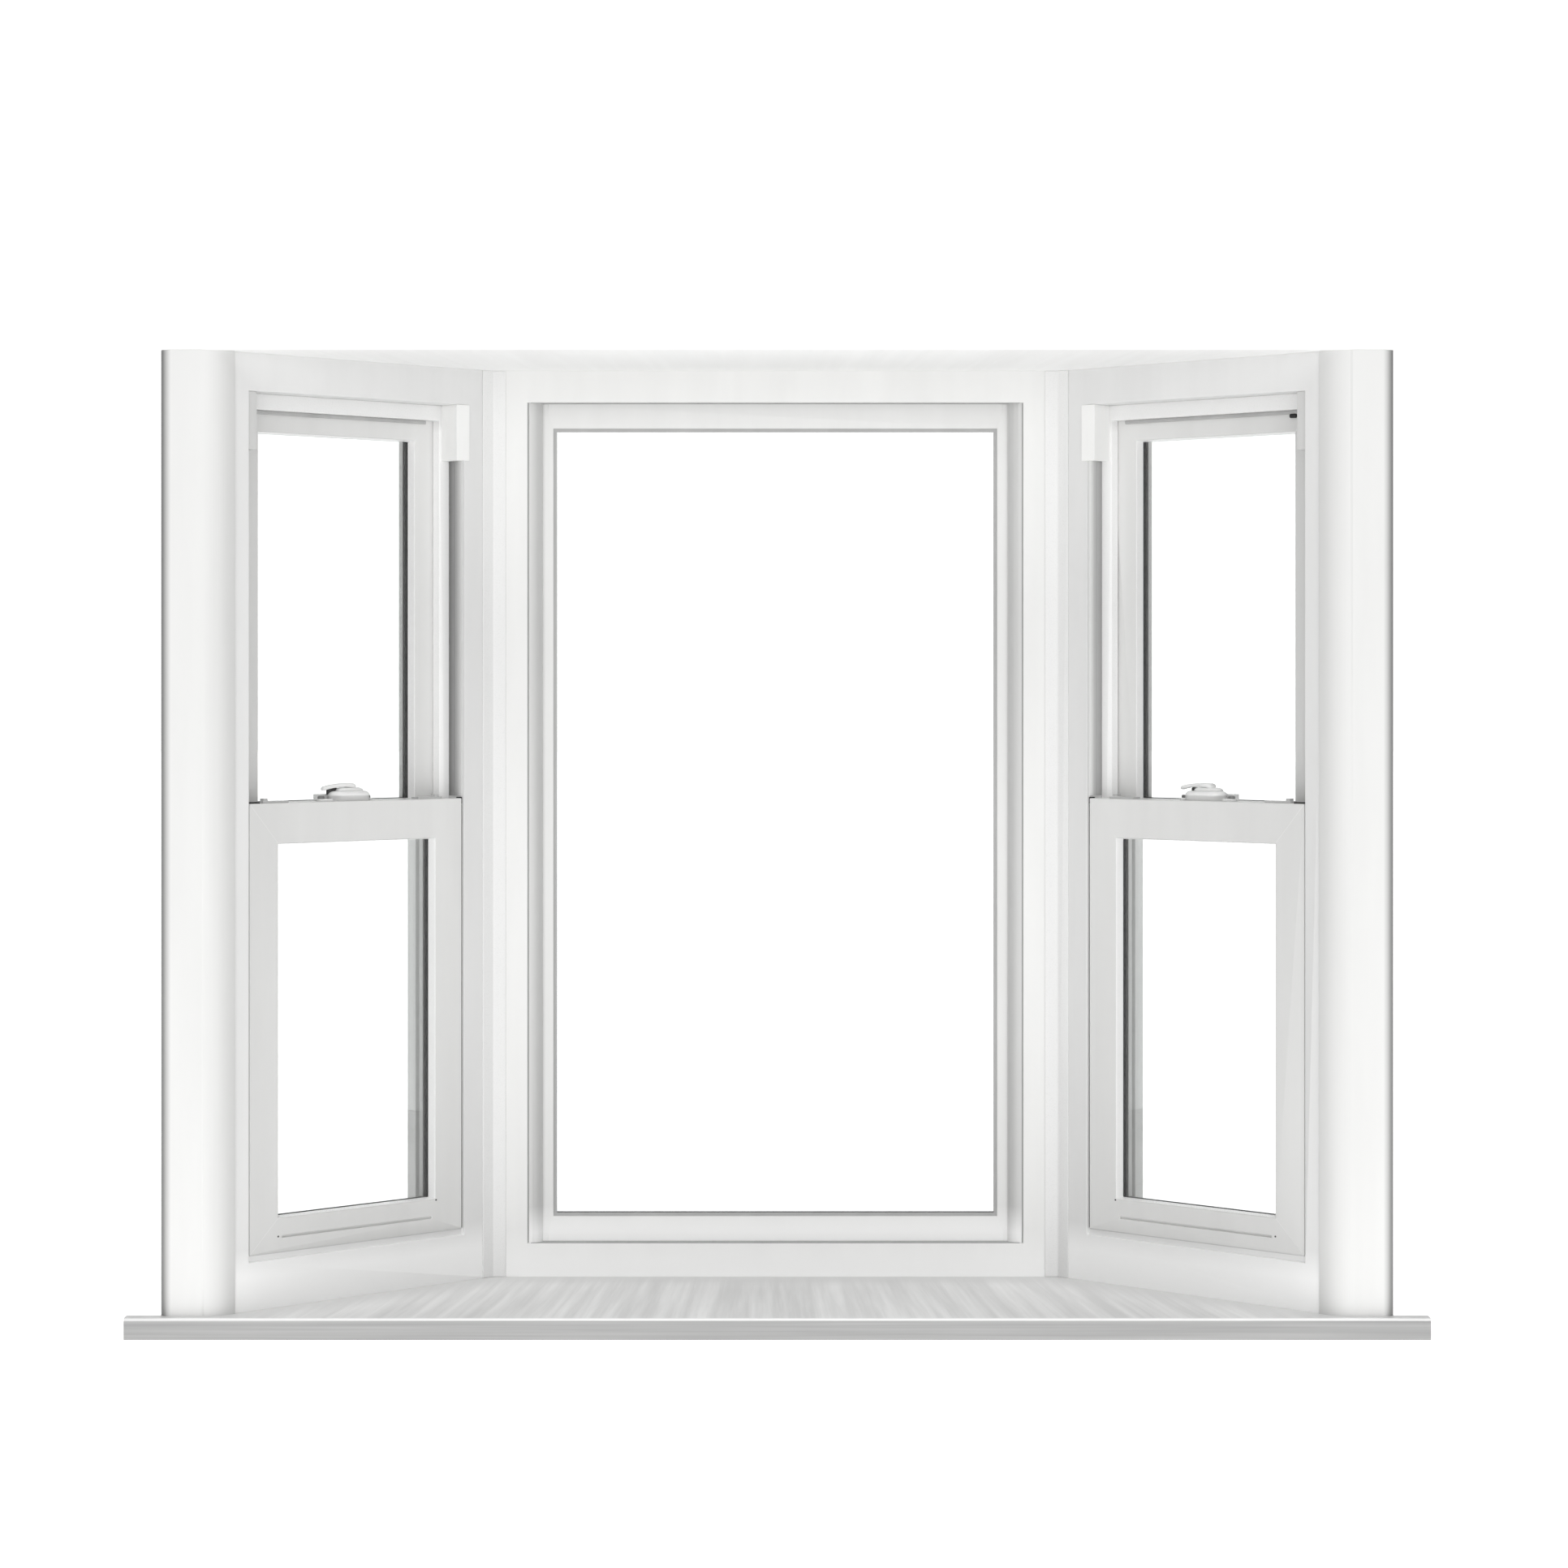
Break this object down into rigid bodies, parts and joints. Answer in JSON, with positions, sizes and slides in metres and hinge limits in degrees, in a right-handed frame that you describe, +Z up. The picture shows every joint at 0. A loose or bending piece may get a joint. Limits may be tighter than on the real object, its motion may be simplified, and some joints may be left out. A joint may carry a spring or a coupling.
{
  "type": "bay window",
  "caption": "White vinyl bay window: a fixed centre window between double-hung side windows at 45 degrees, with seat and head boards and rounded wall posts.",
  "frame": {"origin": "on the underside of the seat board, midway along it, in the plane of the wall posts' fronts", "axes": "+X along the wall, +Y outdoors, away from the room, +Z up"},
  "size_m": [1.524, 0.407, 1.1674],
  "materials": {
    "vinyl": "satin",
    "board": "white-painted, open grain",
    "glass": "clear",
    "gasket": "matt",
    "hardware": "gloss"
  },
  "bodies": {
    "root": {"seat_board": "board", "head_board": "board", "left_wall_post": "vinyl", "right_wall_post": "vinyl", "left_corner_mullion": "vinyl", "right_corner_mullion": "vinyl", "left_corner_trim": "vinyl", "right_corner_trim": "vinyl", "left_outside_cover": "vinyl", "right_outside_cover": "vinyl", "center_frame": "vinyl", "center_glazing_bead": "vinyl", "center_gasket": "gasket", "center_glass": "glass", "left_frame": "vinyl", "right_frame": "vinyl", "left_parting_stop": "vinyl", "right_parting_stop": "vinyl", "left_track_caps": "vinyl", "right_track_caps": "vinyl", "left_upper_sash": "vinyl", "right_upper_sash": "vinyl", "left_upper_glass": "glass", "right_upper_glass": "glass", "left_lower_sash": "vinyl", "right_lower_sash": "vinyl", "left_lower_glass": "glass", "right_lower_glass": "glass", "left_sash_lock": "hardware", "right_sash_lock": "hardware", "left_lock_lever": "hardware", "right_lock_lever": "hardware", "left_lock_keeper": "hardware", "right_lock_keeper": "hardware", "left_tilt_latches": "hardware", "right_tilt_latches": "hardware"}
  },
  "joints": []
}
